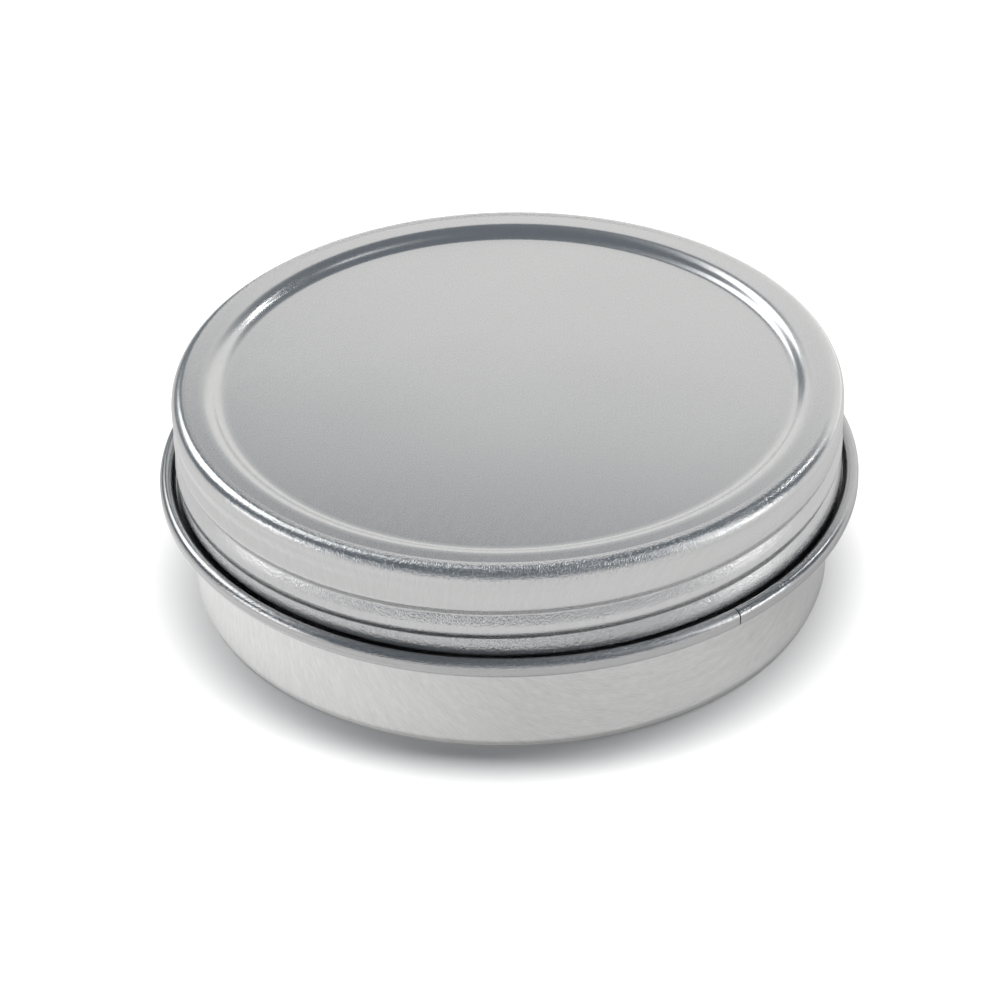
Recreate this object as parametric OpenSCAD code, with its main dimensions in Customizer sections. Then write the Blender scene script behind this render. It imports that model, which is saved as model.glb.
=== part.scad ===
// Shallow round screw-top tin of aluminium sheet.
// A seamless drawn pan carries a rolled, threaded neck ring, which is curled over the pan's
// flange to make the collar. The lid has a recessed panel and a formed thread in its skirt.

/* [Overall] */
// Outside diameter of the lid
lid_d = 68; // [67.6:0.1:68.2]
// Height of the closed tin
tin_h = 22.2; // [22.1:0.1:24]
// Outside diameter of the collar
collar_d = 71.4; // [71.4:0.1:72]
// Outside diameter of the pan
pan_d = 65.2; // [64.6:0.1:65.3]
// Thickness of the sheet
sheet_t = 0.3; // [0.26:0.01:0.32]

/* [Pan] */
// Outer radius of the heel between the pan's bottom and wall
heel_r = 1.2; // [1:0.1:3]
// Radius of the bend from the wall to the flange
flange_bend_r = 0.4; // [0.35:0.05:0.5]

/* [Collar and neck] */
// Height of the collar's lower face
collar_low_z = 10.8; // [10.4:0.1:10.8]
// Height of the collar's crest
collar_top_z = 12.7; // [12.7:0.1:13]
// Width of the collar's rolled bead, from the channel to the outside
bead_w = 1.4; // [1.4:0.02:1.5]
// Outside diameter of the neck's wall
neck_d = 65.7; // [65.6:0.1:65.8]
// Width of the butt seam where the ends of the neck ring's strip meet
seam_w = 0.12; // [0.1:0.02:0.3]
// Direction of the butt seam about the tin's axis, in degrees
seam_angle = -52; // [-180:1:180]

/* [Lid] */
// Height of the lid's lower edge
lid_edge_z = 12.6; // [12.5:0.1:12.8]
// Outer radius of the shoulder between the lid's top and skirt
shoulder_r = 1.2; // [0.9:0.1:2]
// Diameter of the flat panel recessed into the lid's top
panel_d = 57.4; // [54:0.1:58]
// Depth of the recessed panel
panel_depth = 0.9; // [0.8:0.05:1.1]
// Slope of the recess wall where it is steepest, in degrees
recess_slope = 46; // [40:1:55]
// Thickness of the foam liner disc
liner_t = 1; // [0.6:0.1:1.1]

/* [Thread] */
// Rise of the lid for one turn
thread_pitch = 2.7; // [2.6:0.05:2.8]
// Radial height of the thread on the neck
neck_thread_h = 0.5; // [0.4:0.05:0.5]
// Depth of the thread formed into the lid's skirt
lid_thread_h = 0.5; // [0.4:0.05:0.5]
// Height of the middle of the lid's thread where it first passes the front
lid_thread_z = 14.3; // [14.3:0.1:14.8]

/* [Hidden] */
$fn = 120;

half_t = sheet_t / 2;
bend_step = 15;   // largest angle between two points of a bend
thread_step = 6;  // angle between two sections of a thread

// Gaps between pieces that meet in the closed tin
liner_gap = 0.05;
liner_side_gap = 0.1;
crimp_gap = 0.02;
compound_gap = 0.04;

// Sheet mid-lines: radii from the axis and heights
pan_wall_r = pan_d / 2 - half_t;
neck_wall_r = neck_d / 2 - half_t;
lid_wall_r = lid_d / 2 - half_t;
bead_r = bead_w / 2 - half_t;
bead_mid_r = collar_d / 2 - bead_w / 2;
bead_low_z = collar_low_z + bead_w / 2;
bead_high_z = collar_top_z - bead_w / 2;
flange_z = collar_low_z + sheet_t + half_t + crimp_gap;
flange_curl_r = bead_r - sheet_t - crimp_gap;
channel_z = flange_z + sheet_t + crimp_gap;
channel_bend_r = 0.4;
channel_out_r = bead_mid_r - bead_r;
tuck_r = pan_wall_r + flange_bend_r + half_t;
rim_curl_r = 0.5;

// Heights inside the lid, from its top down to the neck's rim
panel_z = tin_h - panel_depth - half_t;
liner_top_z = panel_z - half_t - liner_gap;
rim_top_z = liner_top_z - liner_t - liner_gap;

// Recess wall: two equal bends, one into the other
recess_bend_r = panel_depth / 2 / (1 - cos(recess_slope));
rim_inner_r = panel_d / 2 + 2 * recess_bend_r * sin(recess_slope);

// Thread sections: width at the root and at the crest
neck_thread_w = [1.1, 0.5];
lid_thread_w = [1.4, 0.9];
groove_w = [1.1, 0.4];
root_overlap = 0.15;
groove_overlap = 0.4;

// Angles at which the threads start, their length and the length of their run-out
lid_thread_start = -220;
lid_thread_turn = 900;
neck_thread_start = -300;
neck_thread_turn = 480;
run_in = 40;
lid_run_out = 480;
neck_run_out = 120;
least_fade = 0.04;
front = -90;

function steps(bend) = max(1, ceil(abs(bend[4]) / bend_step));

// One face of a strip of sheet, at a distance to the left of the strip's mid-line.
// Each bend is [r, z, radius, start angle, sweep], and straight sheet joins the bends.
// A bend of no radius and no sweep is an end of the strip.
function face(bends, left) = [
    for (bend = bends, i = [0:steps(bend)])
        let (
            turn = bend[4] < 0 ? -1 : 1,
            angle = bend[3] + bend[4] * i / steps(bend),
            radius = bend[2] - turn * left
        )
        if (bend[4] != 0 || i == 0)
            [bend[0] + radius * cos(angle), bend[1] + radius * sin(angle)]
];

function reversed(points) = [for (i = [len(points) - 1:-1:0]) points[i]];

// Sheet metal of one thickness, bent along its mid-line and turned about the tin's axis
module spun_sheet(bends) {
    rotate_extrude()
        polygon(concat(face(bends, half_t), reversed(face(bends, -half_t))));
}

// A thread's size at an angle past its start: 0 at its ends and 1 along its full depth
function fade(angle, turn, run_out) = min(1, angle / run_in, (turn - angle) / run_out);

// Corners of a thread's section: two at its root, then two at its crest
function thread_section(root_r, height, overlap, widths, z) = [
    [root_r - sign(height) * overlap, z - widths[0] / 2],
    [root_r - sign(height) * overlap, z + widths[0] / 2],
    [root_r + height, z + widths[1] / 2],
    [root_r + height, z - widths[1] / 2]
];

// A right-hand helical ridge. A positive height stands outwards from root_r, a negative one inwards.
module thread_ridge(root_r, height, overlap, widths, front_z, start, turn, run_out) {
    sections = floor(turn / thread_step);
    last = 4 * sections;
    points = [
        for (i = [0:sections])
            let (
                angle = start + i * thread_step,
                z = front_z + thread_pitch * (angle - front) / 360,
                full = max(least_fade, fade(i * thread_step, sections * thread_step, run_out))
            )
            for (corner = thread_section(root_r, height * full, overlap, widths, z))
                [corner[0] * cos(angle), corner[0] * sin(angle), corner[1]]
    ];
    sides = [
        for (i = [0:sections - 1], k = [0:3])
            let (a = 4 * i + k, b = 4 * i + (k + 1) % 4)
            for (triangle = [[a, a + 4, b], [b, a + 4, b + 4]])
                triangle
    ];
    faces = concat([[0, 1, 2, 3]], sides, [[last + 3, last + 2, last + 1, last]]);
    polyhedron(points, height > 0 ? faces : [for (outline = faces) reversed(outline)]);
}

// Seamless pan: flat bottom, rounded heel, straight wall, and a flange curled up inside the collar
module base_pan() {
    color("silver")
        spun_sheet([
            [0, half_t, 0, -90, 0],
            [pan_d / 2 - heel_r, heel_r, heel_r - half_t, -90, 90],
            [pan_wall_r + flange_bend_r, flange_z - flange_bend_r, flange_bend_r, 180, -90],
            [bead_mid_r, flange_z + flange_curl_r, flange_curl_r, -90, 90]
        ]);
}

// Neck ring: one strip, butt-seamed, from the tuck under the flange over the collar's bead,
// round the channel that the lid's edge stands in, up the threaded neck to a rolled rim
module neck_ring() {
    color("gainsboro")
        difference() {
            union() {
                spun_sheet([
                    [tuck_r, collar_low_z + half_t, 0, -90, 0],
                    [bead_mid_r, bead_low_z, bead_r, -90, 90],
                    [bead_mid_r, bead_high_z, bead_r, 0, 180],
                    [channel_out_r - channel_bend_r, channel_z + channel_bend_r, channel_bend_r, 0, -90],
                    [neck_wall_r + channel_bend_r, channel_z + channel_bend_r, channel_bend_r, -90, -90],
                    [neck_wall_r - rim_curl_r, rim_top_z - half_t - rim_curl_r, rim_curl_r, 0, 210]
                ]);
                thread_ridge(
                    neck_d / 2, neck_thread_h, root_overlap, neck_thread_w,
                    lid_thread_z + thread_pitch / 2,
                    neck_thread_start, neck_thread_turn, neck_run_out
                );
            }
            rotate(seam_angle)
                translate([0, -seam_w / 2, 0])
                    cube([collar_d, seam_w, tin_h]);
        }
}

// Sealing compound that fills the bead above the edge of the pan's flange
module seam_compound() {
    compound_r = bead_r - half_t - crimp_gap;
    compound_low_z = flange_z + flange_curl_r + compound_gap;
    color("dimgray")
        rotate_extrude()
            translate([bead_mid_r, 0]) {
                translate([0, bead_high_z])
                    circle(r = compound_r);
                translate([-compound_r, compound_low_z])
                    square([2 * compound_r, bead_high_z - compound_low_z]);
            }
}

// Foam liner that seals the lid on the neck's rim
module lid_liner() {
    color("white")
        translate([0, 0, liner_top_z - liner_t])
            cylinder(h = liner_t, r = lid_d / 2 - sheet_t - lid_thread_h - liner_side_gap);
}

// Lid: recessed panel, flat rim, rounded shoulder, and a skirt with the thread formed into it,
// a ridge inside and a groove outside
module lid_shell() {
    color("silver")
        difference() {
            union() {
                spun_sheet([
                    [0, panel_z, 0, -90, 0],
                    [panel_d / 2, panel_z + recess_bend_r, recess_bend_r, -90, recess_slope],
                    [rim_inner_r, tin_h - half_t - recess_bend_r, recess_bend_r,
                        90 + recess_slope, -recess_slope],
                    [lid_d / 2 - shoulder_r, tin_h - shoulder_r, shoulder_r - half_t, 90, -90],
                    [lid_wall_r, lid_edge_z, 0, 180, 0]
                ]);
                thread_ridge(
                    lid_d / 2 - sheet_t, -lid_thread_h, root_overlap, lid_thread_w,
                    lid_thread_z, lid_thread_start, lid_thread_turn, lid_run_out
                );
            }
            thread_ridge(
                lid_d / 2, -lid_thread_h, groove_overlap, groove_w,
                lid_thread_z, lid_thread_start, lid_thread_turn, lid_run_out
            );
        }
}

base_pan();
neck_ring();
seam_compound();
lid_liner();
lid_shell();
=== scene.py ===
import math

import bmesh
import bpy
from mathutils import Matrix, Vector


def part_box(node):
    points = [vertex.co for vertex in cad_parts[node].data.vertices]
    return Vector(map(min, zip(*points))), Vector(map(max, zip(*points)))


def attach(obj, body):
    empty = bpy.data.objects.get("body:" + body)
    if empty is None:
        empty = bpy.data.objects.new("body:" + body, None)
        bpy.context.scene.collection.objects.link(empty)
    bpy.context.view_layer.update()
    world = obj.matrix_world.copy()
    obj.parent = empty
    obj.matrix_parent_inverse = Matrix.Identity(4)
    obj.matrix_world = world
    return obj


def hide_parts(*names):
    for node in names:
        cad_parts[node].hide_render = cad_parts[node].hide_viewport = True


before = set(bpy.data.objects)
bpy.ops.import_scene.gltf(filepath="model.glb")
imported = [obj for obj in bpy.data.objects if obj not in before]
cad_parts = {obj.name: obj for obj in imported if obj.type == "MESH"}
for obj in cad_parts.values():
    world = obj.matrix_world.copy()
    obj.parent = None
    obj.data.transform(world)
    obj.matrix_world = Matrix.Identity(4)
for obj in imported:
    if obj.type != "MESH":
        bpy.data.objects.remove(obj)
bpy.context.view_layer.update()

MM = 0.001
TAU = 2 * math.pi

# ---------------------------------------------------------------- sizes, in millimetres
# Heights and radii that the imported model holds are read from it.


def node_size(node):
    """Outer radius, lowest and highest point of a CAD node."""
    low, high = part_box(node)
    return (high[0] - low[0]) / 2 / MM, low[2] / MM, high[2] / MM


LID_R, LID_EDGE_Z, TIN_H = node_size("lid_shell")
COLLAR_R, COLLAR_LOW_Z, RIM_Z = node_size("neck_ring")
LINER_R, LINER_LOW_Z, LINER_TOP_Z = node_size("lid_liner")

SHEET_T = 0.3
HALF_T = SHEET_T / 2

# Pan
PAN_R = 32.6
HEEL_R = 1.2
FLANGE_BEND_R = 0.4

# Collar and neck
COLLAR_TOP_Z = 12.7
BEAD_W = 1.4
CHANNEL_BEND_R = 0.4
CRIMP_GAP = 0.02
NECK_R = 32.85
RIM_CURL_R = 0.5
SEAM_ANGLE = math.radians(-52)
SEAM_W = 0.14

# Lid
SHOULDER_R = 1.2
PANEL_R = 28.7
PANEL_DEPTH = 0.9
RECESS_SLOPE = 46

# Threads: right-hand helices that rise PITCH a turn. The lid's first passes the front at
# LID_THREAD_Z.
PITCH = 2.7
FRONT = math.radians(-90)
LID_THREAD_Z = 14.25
LID_THREAD_H = 0.52             # depth of the crease
LID_THREAD_BELOW = 1.85         # reach of the long flank below the crease
LID_THREAD_BELOW_CURVE = 1.5    # how hollow that flank is, 1 for a straight one
LID_THREAD_ABOVE = 0.95         # reach of the short flank above the crease
LID_THREAD_ABOVE_CURVE = 1.25   # how hollow that flank is
LID_THREAD_CONE = 1.9           # reach of the shallow cone above the crease
LID_THREAD_CONE_SHARE = 0.15    # how much of the depth is the cone's
LID_THREAD_START = math.radians(-270)
LID_THREAD_END = math.radians(690)
LID_RUN_IN = math.radians(290)
LID_RUN_OUT = math.radians(480)
NECK_THREAD_H = 0.45            # height of the ridge
NECK_THREAD_HALF = 0.6          # half its width
NECK_THREAD_START = math.radians(-300)
NECK_THREAD_END = math.radians(180)
NECK_RUN_IN = math.radians(40)
NECK_RUN_OUT = math.radians(120)

# Liner
LINER_EDGE_R = 0.25
RIM_MARK_DEPTH = 0.12
RIM_MARK_HALF = 0.8     # half the width of the mark of the neck's rim

# Mesh fineness
SEGMENTS = 384
TINY = 1e-6             # a shorter length counts as none
ARC_STEP = 7.5          # degrees between points of a bend
THREAD_ROW = 0.11       # height of a row of faces where a thread is formed
FLAT_ROW = 0.5          # width of a row of faces on the other straights
FOAM_ROW = 0.25         # width of a row of faces on the liner's underside
FOAM_FIRST_ROW = 4      # rows that one fan of triangles takes up at the middle
FOAM_ARC_STEP = 15      # degrees between points of the liner's rounded edges
SHARP_ANGLE = math.radians(50)

# How the metal's skin changes where the sheet is formed
FORMED_FADE = 0.5       # distance over which a bend's skin blends into the flat sheet's
FORMED_PUSH = 0.12      # a skin pushed in or out this far is fully formed
SPARKLE_R = 32.0        # the sheet was stretched most, and is crumbly, outside this radius

# Direction of the rolling grain in the flat sheet each piece was made from
LID_GRAIN = math.radians(72)
PAN_GRAIN = math.radians(30)


# ---------------------------------------------------------------- sheet-metal meshes

def mid_line(bends, wall_row):
    """Points along a strip's mid-line. Each bend is (r, z, radius, start, sweep) in millimetres and
    degrees, and straight sheet joins the bends. A point is (r, z, normal r, normal z, length so far,
    how formed the sheet is there, from 0 to 1)."""
    points = []

    def add(r, z, nr, nz, bent):
        length = r
        if points:
            old_r, old_z, _, _, old_length, _ = points[-1]
            gap = math.hypot(r - old_r, z - old_z)
            if gap < TINY:
                return
            row = wall_row if abs(z - old_z) > abs(r - old_r) else FLAT_ROW
            count = math.ceil(gap / row)
            for i in range(1, count):
                t = i / count
                between_r = old_r + (r - old_r) * t
                between_z = old_z + (z - old_z) * t
                points.append((between_r, between_z, nr, nz, old_length + gap * t, False))
            length = old_length + gap
        points.append((r, z, nr, nz, length, bent))

    for centre_r, centre_z, radius, start, sweep in bends:
        turn = -1 if sweep < 0 else 1
        count = max(1, math.ceil(abs(sweep) / ARC_STEP))
        for i in range(count + 1 if sweep else 1):
            angle = math.radians(start + sweep * i / count)
            c, s = math.cos(angle), math.sin(angle)
            add(centre_r + radius * c, centre_z + radius * s, -turn * c, -turn * s, sweep != 0)

    bent_at = [length for *_, length, bent in points if bent]

    def formed(length):
        nearest = min(abs(length - at) for at in bent_at)
        return max(0.0, 1 - nearest / FORMED_FADE)

    return [(*place, length, formed(length)) for *place, length, _ in points]


def fade(angle, start, end, run_in, run_out):
    """A thread's share of its full depth: 0 at its ends."""
    return max(0.0, min(1.0, (angle - start) / run_in, (end - angle) / run_out))


def cosine_bump(distance, half):
    """1 at 0, falling smoothly to 0 at half a width."""
    share = abs(distance) / half
    return 0.5 + 0.5 * math.cos(math.pi * share) if share < 1 else 0.0


def groove(distance):
    """Section of the lid's thread: a long flank below its crease, and above it a shallow cone that
    steepens towards the crease."""
    if distance < 0:
        return max(0.0, 1 + distance / LID_THREAD_BELOW) ** LID_THREAD_BELOW_CURVE
    cone = max(0.0, 1 - distance / LID_THREAD_CONE)
    flank = max(0.0, 1 - distance / LID_THREAD_ABOVE) ** LID_THREAD_ABOVE_CURVE
    return LID_THREAD_CONE_SHARE * cone + (1 - LID_THREAD_CONE_SHARE) * flank


def ridge(distance):
    """Section of the neck's thread."""
    return cosine_bump(distance, NECK_THREAD_HALF)


def thread_depth(azimuth, z, front_z, start, end, run_in, run_out, section):
    """A helical thread's depth at an azimuth and height, as a share of its full depth."""
    depth = 0.0
    angle = azimuth + math.ceil((start - azimuth) / TAU) * TAU
    while angle <= end:
        middle = front_z + PITCH * (angle - FRONT) / TAU
        depth = max(depth, fade(angle, start, end, run_in, run_out) * section(z - middle))
        angle += TAU
    return depth


def point_at(azimuth, r, z):
    """The point at an azimuth, radius and height in millimetres, in metres."""
    return r * math.cos(azimuth) * MM, r * math.sin(azimuth) * MM, z * MM


def join_rings(mesh, low, high):
    """Faces between two rings of vertices. A ring that is one repeated vertex gives triangles."""
    for i in range(SEGMENTS):
        j = (i + 1) % len(low)
        corners = [low[i], low[j], high[j], high[i]]
        mesh.faces.new([v for k, v in enumerate(corners) if v not in corners[:k]])


def smooth_outside(mesh):
    """Turn the faces outwards and shade them smooth."""
    bmesh.ops.recalc_face_normals(mesh, faces=mesh.faces)
    for face in mesh.faces:
        face.smooth = True


def link_mesh(name, mesh, material):
    """An object with one material, made from a mesh and put in the scene."""
    thing = bpy.data.objects.new(name, mesh)
    bpy.context.scene.collection.objects.link(thing)
    mesh.materials.append(material)
    return thing


def riding_piece(name, mesh, material, body):
    """A piece that rides on a body, made from a finished bmesh."""
    data = bpy.data.meshes.new(name)
    mesh.to_mesh(data)
    mesh.free()
    piece = link_mesh(name, data, material)
    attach(piece, body)
    return piece


def column_azimuths(seam=None):
    """Azimuths of a turned mesh's columns of vertices, all round or from one side of a seam to the
    other."""
    if seam is None:
        return [TAU * i / SEGMENTS for i in range(SEGMENTS)]
    azimuth, width = seam
    half_gap = width / 2 / COLLAR_R
    return [azimuth + half_gap + (TAU - 2 * half_gap) * i / SEGMENTS for i in range(SEGMENTS + 1)]


def spun_piece(name, bends, material, body, wall_row=FLAT_ROW, move=None, grain=None, seam=None):
    """Sheet metal turned about the tin's axis. move(azimuth, z, r) gives how far outwards a point of
    the sheet is pushed; grain is the rolling direction in a flat blank, or None for a rolled strip;
    seam is the (azimuth, width) of a butt joint."""
    line = mid_line(bends, wall_row)
    starts_at_axis = line[0][0] < TINY
    rows = [(p, HALF_T) for p in line] + [(p, -HALF_T) for p in reversed(line)]
    azimuths = column_azimuths(seam)

    mesh = bmesh.new()
    grain_layer = mesh.loops.layers.uv.new("grain")
    formed_layer = mesh.verts.layers.float.new("formed")
    sparkle_layer = mesh.verts.layers.float.new("sparkle")
    grain_at = []
    grid = []
    for (r, z, nr, nz, length, formed), left in rows:
        row = []
        for azimuth in azimuths:
            if row and r < TINY:
                row.append(row[0])
                continue
            push = move(azimuth, z, r) if move else 0.0
            radius = r + nr * left + push
            vertex = mesh.verts.new(point_at(azimuth, radius, z + nz * left))
            if grain is None:
                blank = length, (azimuth - azimuths[0]) * r
            else:
                blank = length * math.sin(azimuth - grain), length * math.cos(azimuth - grain)
            vertex[formed_layer] = min(1.0, formed + abs(push) / FORMED_PUSH)
            stretched = vertex[formed_layer] * min(1.0, max(0.0, radius - SPARKLE_R))
            vertex[sparkle_layer] = stretched * math.sin(azimuth) ** 2
            vertex.index = len(grain_at)
            grain_at.append((blank[0] * MM, blank[1] * MM))
            row.append(vertex)
        grid.append(row)

    for low, high in zip(grid, grid[1:]):
        join_rings(mesh, low, high)
    if not starts_at_axis:
        join_rings(mesh, grid[-1], grid[0])
    if seam:
        for i in (0, SEGMENTS):
            for k in range(len(line) - 1):
                mesh.faces.new([grid[k][i], grid[k + 1][i], grid[-k - 2][i], grid[-k - 1][i]])
    smooth_outside(mesh)
    for face in mesh.faces:
        for loop in face.loops:
            loop[grain_layer].uv = grain_at[loop.vert.index]
    piece = riding_piece(name, mesh, material, body)
    piece.data.set_sharp_from_angle(angle=SHARP_ANGLE)
    return piece


# ---------------------------------------------------------------- materials

# Most values of a noise texture lie between these
NOISE_LOW = 0.3
NOISE_HIGH = 0.7


class Nodes:
    """A material's node tree, with short calls to add and join nodes."""

    def __init__(self, name):
        self.material = bpy.data.materials.new(name)
        self.material.use_nodes = True
        self.tree = self.material.node_tree
        self.shader = self.tree.nodes["Principled BSDF"]

    def add(self, kind, inputs=None, **settings):
        node = self.tree.nodes.new("ShaderNode" + kind)
        for key, value in settings.items():
            setattr(node, key, value)
        for key, value in (inputs or {}).items():
            if isinstance(value, bpy.types.NodeSocket):
                self.tree.links.new(value, node.inputs[key])
            else:
                node.inputs[key].default_value = value
        return node

    def noise(self, vector, scale, detail=2.0):
        node = self.add("TexNoise", {"Vector": vector, "Scale": scale, "Detail": detail})
        return node.outputs["Fac"]

    def stretched(self, vector, scale):
        return self.add("Mapping", {"Vector": vector, "Scale": scale}).outputs["Vector"]

    def remap(self, value, low, high, to_low, to_high):
        return self.add("MapRange", {
            "Value": value, "From Min": low, "From Max": high, "To Min": to_low, "To Max": to_high,
        }).outputs["Result"]

    def maths(self, operation, a, b):
        return self.add("Math", {0: a, 1: b}, operation=operation).outputs[0]

    def spread(self, noise, to_low, to_high):
        """A noise's values spread from one number to another."""
        return self.remap(noise, NOISE_LOW, NOISE_HIGH, to_low, to_high)

    def colours(self, noise, dark, light):
        """A noise's values turned into colours between a dark and a light one."""
        ramp = self.add("ValToRGB", {"Fac": noise})
        first, last = ramp.color_ramp.elements
        first.position = NOISE_LOW
        first.color = (*dark, 1)
        last.position = NOISE_HIGH
        last.color = (*light, 1)
        return ramp.outputs["Color"]

    def bump(self, height, strength, distance, normal=None):
        inputs = {"Height": height, "Strength": strength, "Distance": distance}
        if normal is not None:
            inputs["Normal"] = normal
        return self.add("Bump", inputs).outputs["Normal"]

    def into(self, socket, value):
        """Join a socket to the shader, or set the shader's own value."""
        if isinstance(value, bpy.types.NodeSocket):
            self.tree.links.new(value, self.shader.inputs[socket])
        else:
            self.shader.inputs[socket].default_value = value


def rolled_aluminium(name, tone, contrast, rough, formed_rough, crumb_height):
    """Bright rolled sheet: fine short flecks along the rolling grain, a glossier skin where the
    sheet was bent, and a crumbly sparkle where it was stretched most."""
    n = Nodes(name)
    grain = n.add("UVMap", uv_map="grain").outputs["UV"]
    place = n.add("TexCoord").outputs["Object"]
    formed = n.add("Attribute", attribute_name="formed").outputs["Fac"]
    sparkle = n.add("Attribute", attribute_name="sparkle").outputs["Fac"]

    flecks = n.noise(n.stretched(grain, (8000, 900, 1)), 1.0)
    drifts = n.noise(n.stretched(grain, (1500, 260, 1)), 1.0)
    cloud = n.noise(place, 60, 3.0)
    crumbs = n.noise(n.stretched(grain, (7500, 3600, 1)), 1.0)

    streaks = n.maths("ADD", n.maths("MULTIPLY", flecks, 0.6), n.maths("MULTIPLY", drifts, 0.4))
    dark = [(1 - contrast) * c for c in tone]
    light = [(1 + contrast) * c for c in tone]
    n.into("Base Color", n.colours(streaks, dark, light))
    n.into("Metallic", 1.0)
    streak_rough = n.spread(streaks, rough - 0.04, rough + 0.04)
    flat_rough = n.maths("ADD", streak_rough, n.spread(cloud, -0.012, 0.012))
    skin = n.add("Mix", {"Factor": formed, "A": flat_rough, "B": formed_rough}).outputs[0]
    crumbly_rough = formed_rough - 0.09
    n.into("Roughness", n.add("Mix", {"Factor": sparkle, "A": skin, "B": crumbly_rough}).outputs[0])
    n.into("Anisotropic", 0.3)
    n.into("Tangent", n.add("Tangent", direction_type="UV_MAP", uv_map="grain").outputs["Tangent"])
    fleck_height = 0.0000008
    lines = n.bump(flecks, 1.0, fleck_height)
    n.into("Normal", n.bump(n.maths("MULTIPLY", crumbs, sparkle), 1.0, crumb_height, lines))
    return n.material


def liner_foam():
    """White closed-cell foam with a fine dimpled skin."""
    n = Nodes("liner_foam")
    place = n.add("TexCoord").outputs["Object"]
    cells = n.add("TexVoronoi", {"Vector": place, "Scale": 2600.0}).outputs["Distance"]
    soft = n.noise(place, 240, 3.0)
    n.into("Base Color", n.colours(soft, (0.78, 0.78, 0.76), (0.87, 0.87, 0.85)))
    n.into("Roughness", n.remap(cells, 0.0, 0.8, 0.75, 0.6))
    n.into("Sheen Weight", 0.1)
    n.into("Normal", n.bump(cells, 0.4, 0.00006))
    return n.material


def cured_compound():
    """Grey sealing compound, a little uneven."""
    n = Nodes("seam_compound")
    place = n.add("TexCoord").outputs["Object"]
    soft = n.noise(place, 700, 4.0)
    n.into("Base Color", n.colours(soft, (0.07, 0.072, 0.075), (0.12, 0.122, 0.125)))
    n.into("Roughness", n.spread(soft, 0.5, 0.7))
    n.into("Normal", n.bump(soft, 0.5, 0.00008))
    return n.material


def white_table():
    """Matt white table top with a trace of unevenness."""
    n = Nodes("white_table")
    place = n.add("TexCoord").outputs["Object"]
    soft = n.noise(place, 6)
    n.into("Base Color", n.colours(soft, (0.87, 0.86, 0.85), (0.89, 0.88, 0.87)))
    n.into("Roughness", n.spread(soft, 0.6, 0.7))
    n.into("Specular IOR Level", 0.2)
    return n.material


lid_metal = rolled_aluminium("lid_metal", (0.73, 0.729, 0.727), 0.04, 0.27, 0.25, 0.0001)
neck_metal = rolled_aluminium("neck_metal", (0.55, 0.55, 0.553), 0.04, 0.27, 0.25, 0.00006)
pan_metal = rolled_aluminium("pan_metal", (0.735, 0.733, 0.729), 0.11, 0.32, 0.3, 0.00003)

# ---------------------------------------------------------------- pan

BEAD_MID_R = COLLAR_R - BEAD_W / 2
BEAD_R = BEAD_W / 2 - HALF_T
NECK_WALL_R = NECK_R - HALF_T
FLANGE_Z = COLLAR_LOW_Z + SHEET_T + HALF_T + CRIMP_GAP
FLANGE_CURL_R = BEAD_R - SHEET_T - CRIMP_GAP
CHANNEL_Z = FLANGE_Z + SHEET_T + CRIMP_GAP + CHANNEL_BEND_R
CHANNEL_OUT_R = BEAD_MID_R - BEAD_R

pan = spun_piece(
    "drawn_pan",
    [
        (0, HALF_T, 0, -90, 0),
        (PAN_R - HEEL_R, HEEL_R, HEEL_R - HALF_T, -90, 90),
        (PAN_R - HALF_T + FLANGE_BEND_R, FLANGE_Z - FLANGE_BEND_R, FLANGE_BEND_R, 180, -90),
        (BEAD_MID_R, FLANGE_Z + FLANGE_CURL_R, FLANGE_CURL_R, -90, 90),
    ],
    pan_metal, "base", grain=PAN_GRAIN,
)
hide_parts("base_pan")

# ---------------------------------------------------------------- neck ring and collar


def neck_thread(azimuth, z, r):
    """How far the neck's wall is pushed out. Its thread runs half a pitch above the lid's."""
    if r < NECK_WALL_R - HALF_T or r > NECK_WALL_R + HALF_T:
        return 0.0
    return NECK_THREAD_H * thread_depth(
        azimuth, z, LID_THREAD_Z + PITCH / 2, NECK_THREAD_START, NECK_THREAD_END,
        NECK_RUN_IN, NECK_RUN_OUT, ridge,
    )


neck = spun_piece(
    "neck_and_collar",
    [
        (PAN_R + FLANGE_BEND_R, COLLAR_LOW_Z + HALF_T, 0, -90, 0),
        (BEAD_MID_R, COLLAR_LOW_Z + BEAD_W / 2, BEAD_R, -90, 90),
        (BEAD_MID_R, COLLAR_TOP_Z - BEAD_W / 2, BEAD_R, 0, 180),
        (CHANNEL_OUT_R - CHANNEL_BEND_R, CHANNEL_Z, CHANNEL_BEND_R, 0, -90),
        (NECK_WALL_R + CHANNEL_BEND_R, CHANNEL_Z, CHANNEL_BEND_R, -90, -90),
        (NECK_WALL_R - RIM_CURL_R, RIM_Z - HALF_T - RIM_CURL_R, RIM_CURL_R, 0, 210),
    ],
    neck_metal, "base", wall_row=THREAD_ROW, move=neck_thread, seam=(SEAM_ANGLE, SEAM_W),
)
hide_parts("neck_ring")

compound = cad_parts["seam_compound"]
compound.data.materials.clear()
compound.data.materials.append(cured_compound())

# ---------------------------------------------------------------- liner


def rounded_edge(centre_z, start):
    """Quarter of the liner's edge, from one angle in degrees to 90 degrees further."""
    centre_r = LINER_R - LINER_EDGE_R
    angles = [math.radians(start + angle) for angle in range(0, 91, FOAM_ARC_STEP)]
    return [
        (centre_r + LINER_EDGE_R * math.cos(a), centre_z + LINER_EDGE_R * math.sin(a)) for a in angles
    ]


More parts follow.
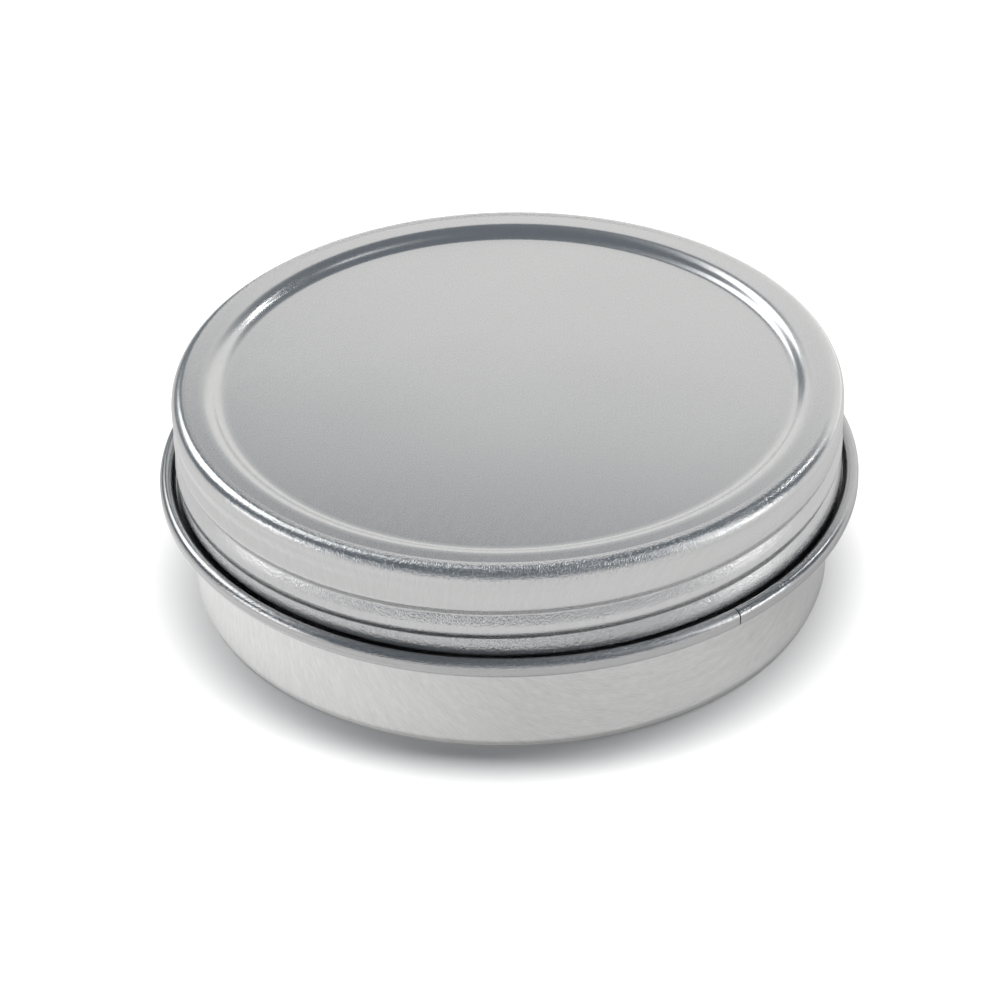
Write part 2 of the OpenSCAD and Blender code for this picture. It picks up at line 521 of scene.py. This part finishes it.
def foam_liner():
    """Foam disc with softly rounded edges and the mark that the neck's rim pressed into it."""
    rim_r = NECK_WALL_R - RIM_CURL_R
    last_row = int((LINER_R - LINER_EDGE_R) / FOAM_ROW)
    under = [FOAM_ROW * k for k in range(FOAM_FIRST_ROW, last_row)]
    marked = [
        (r, LINER_LOW_Z + RIM_MARK_DEPTH * cosine_bump(r - rim_r, RIM_MARK_HALF)) for r in under
    ]
    edge = rounded_edge(LINER_LOW_Z + LINER_EDGE_R, -90) + rounded_edge(LINER_TOP_Z - LINER_EDGE_R, 0)

    mesh = bmesh.new()
    low_pole = [mesh.verts.new(point_at(0, 0, LINER_LOW_Z))] * SEGMENTS
    rings = [
        [mesh.verts.new(point_at(azimuth, r, z)) for azimuth in column_azimuths()]
        for r, z in marked + edge
    ]
    high_pole = [mesh.verts.new(point_at(0, 0, LINER_TOP_Z))] * SEGMENTS
    grid = [low_pole, *rings, high_pole]
    for low, high in zip(grid, grid[1:]):
        join_rings(mesh, low, high)
    smooth_outside(mesh)
    return riding_piece("foam_liner", mesh, liner_foam(), "liner")


liner = foam_liner()
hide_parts("lid_liner")

# ---------------------------------------------------------------- lid


def lid_thread(azimuth, z, r):
    """How far the lid's skirt is pushed out, less than nothing where it is pushed in."""
    if r < LID_R - SHEET_T:
        return 0.0
    return -LID_THREAD_H * thread_depth(
        azimuth, z, LID_THREAD_Z, LID_THREAD_START, LID_THREAD_END,
        LID_RUN_IN, LID_RUN_OUT, groove,
    )


# Two equal bends, one into the other, make the recess wall
RECESS_BEND_R = PANEL_DEPTH / 2 / (1 - math.cos(math.radians(RECESS_SLOPE)))
PLATEAU_R = PANEL_R + 2 * RECESS_BEND_R * math.sin(math.radians(RECESS_SLOPE))

lid = spun_piece(
    "screw_lid",
    [
        (0, TIN_H - PANEL_DEPTH - HALF_T, 0, -90, 0),
        (PANEL_R, TIN_H - PANEL_DEPTH - HALF_T + RECESS_BEND_R, RECESS_BEND_R, -90, RECESS_SLOPE),
        (PLATEAU_R, TIN_H - HALF_T - RECESS_BEND_R, RECESS_BEND_R, 90 + RECESS_SLOPE, -RECESS_SLOPE),
        (LID_R - SHOULDER_R, TIN_H - SHOULDER_R, SHOULDER_R - HALF_T, 90, -90),
        (LID_R - HALF_T, LID_EDGE_Z, 0, 180, 0),
    ],
    lid_metal, "lid", wall_row=THREAD_ROW, move=lid_thread, grain=LID_GRAIN,
)
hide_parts("lid_shell")

# ---------------------------------------------------------------- stage: table, lights, camera


def level_sheet(name, z, material):
    """A large square sheet, in metres."""
    half = 1.5
    mesh = bpy.data.meshes.new(name)
    corners = [(-half, -half, z), (half, -half, z), (half, half, z), (-half, half, z)]
    mesh.from_pydata(corners, [], [(0, 1, 2, 3)])
    return link_mesh(name, mesh, material)


def table_top():
    """The white table. The metal mirrors the glowing sheet instead of it."""
    table = level_sheet("table", 0, white_table())
    table.visible_glossy = False


def table_glow():
    """Light that the table sends up into the metal, with painted shade in it: a painted shadow of the
    tin makes it weakest right beside the tin, and painted light and shade make it stronger on its left
    than on its right."""
    n = Nodes("table_glow")
    place = n.add("SeparateXYZ", {"Vector": n.add("TexCoord").outputs["Object"]}).outputs
    squares = [n.maths("MULTIPLY", place[axis], place[axis]) for axis in "XY"]
    radius = n.maths("POWER", n.maths("ADD", *squares), 0.5)
    # painted shadow: the tin's shadow on the table, painted into the glow as a dip right beside the
    # tin
    painted_contact_shadow = n.remap(radius, 0.033, 0.0352, -0.3, 0.0)
    # painted shade: the glow brightens with distance from the tin
    distance = n.remap(radius, 0.036, 0.062, 0.66, 0.75)
    # painted light on the left and painted shade on the right, only beside the tin
    beside = n.remap(radius, 0.042, 0.054, 1.0, 0.0)
    left = n.remap(place["X"], -0.04, 0.0, 0.36, 0.0)
    right = n.remap(place["X"], 0.028, 0.045, 0.0, -0.25)
    painted_side_light_and_shade = n.maths("MULTIPLY", n.maths("ADD", left, right), beside)
    n.into("Base Color", (0, 0, 0, 1))
    n.into("Specular IOR Level", 0.0)
    n.into("Emission Color", (1, 1, 1, 1))
    # the glow's strength carries the painted shadow of the tin and the painted side light and shade
    n.into("Emission Strength", n.maths("ADD", n.maths("ADD", painted_contact_shadow, distance), painted_side_light_and_shade))
    n.material.cycles.emission_sampling = "NONE"
    return n.material


def glowing_sheet():
    """A sheet just below the table top that only the metal's reflections see."""
    sheet = level_sheet("glowing_sheet", -0.001, table_glow())
    sheet.visible_camera = False
    sheet.visible_diffuse = False
    sheet.visible_shadow = False


def direction(azimuth, elevation):
    """Unit vector from the tin, azimuth anticlockwise from +X seen from above, in degrees."""
    a, e = math.radians(azimuth), math.radians(elevation)
    return Vector((math.cos(a) * math.cos(e), math.sin(a) * math.cos(e), math.sin(e)))


def soft_box(name, centre, aim, width, height, radiance, colour=(1, 1, 1), lights_table=False):
    """A rectangular area light, in metres, that shines from its centre towards the aim. Width is
    level, and height runs up. It either lights the table or is mirrored in the metal."""
    light = bpy.data.lights.new(name, "AREA")
    light.shape = "RECTANGLE"
    light.size, light.size_y = width, height
    light.color = colour
    light.energy = radiance * math.pi * width * height
    lamp = bpy.data.objects.new(name, light)
    lamp.location = centre
    lamp.rotation_euler = (Vector(centre) - Vector(aim)).to_track_quat("Z", "Y").to_euler()
    lamp.visible_camera = False
    lamp.visible_diffuse = lights_table
    lamp.visible_glossy = not lights_table
    bpy.context.scene.collection.objects.link(lamp)


def studio():
    """A dim cool room, one light for the table, and boxes and cards for the metal to mirror."""
    world = bpy.data.worlds.new("studio")
    bpy.context.scene.world = world
    world.use_nodes = True
    background = world.node_tree.nodes["Background"].inputs
    background["Color"].default_value = (0.78, 0.89, 1.0, 1)
    background["Strength"].default_value = 0.2
    tin = (0, 0, 0.015)
    soft_box("table_light", direction(82, 83), tin, 1.5, 0.65, 7.5, lights_table=True)
    soft_box("left_box", direction(134, 40), tin, 0.5, 0.5, 2.4)
    soft_box("right_box", direction(-24, 46), tin, 0.4, 0.2, 2.5)
    soft_box("small_box", direction(30, 36), tin, 0.09, 0.1, 10.0)
    soft_box("front_strip", direction(-90, 24), tin, 0.5, 0.07, 2.0)
    soft_box("left_card", direction(192, 8), tin, 0.5, 0.35, 2.2)
    soft_box("right_card", direction(-15, 8), tin, 0.5, 0.35, 2.6)
    soft_box(
        "back_card", (0.1, 0.175, 0.087), (0.06, 0, 0.087), 0.34, 0.171, 0.72, colour=(1, 0.965, 0.93),
    )


def photo_camera():
    """A long lens at the viewing angle of a product shot, rolled slightly."""
    camera = bpy.data.cameras.new("camera")
    camera.sensor_width = 36
    camera.lens = 153.94
    camera.clip_start, camera.clip_end = 0.01, 10
    eye = bpy.data.objects.new("camera", camera)
    bpy.context.scene.collection.objects.link(eye)
    aim = Vector((-1.0, 0, 7.36)) * MM
    toward = direction(-90.16, 34.28)
    distance = 0.44037
    roll_angle = math.radians(-1.27)
    eye.location = aim + toward * distance
    eye.rotation_mode = "QUATERNION"
    roll = Matrix.Rotation(roll_angle, 4, "Z").to_quaternion()
    eye.rotation_quaternion = (-toward).to_track_quat("-Z", "Y") @ roll
    bpy.context.scene.camera = eye


table_top()
glowing_sheet()
studio()
photo_camera()
bpy.context.scene.view_settings.view_transform = "Standard"
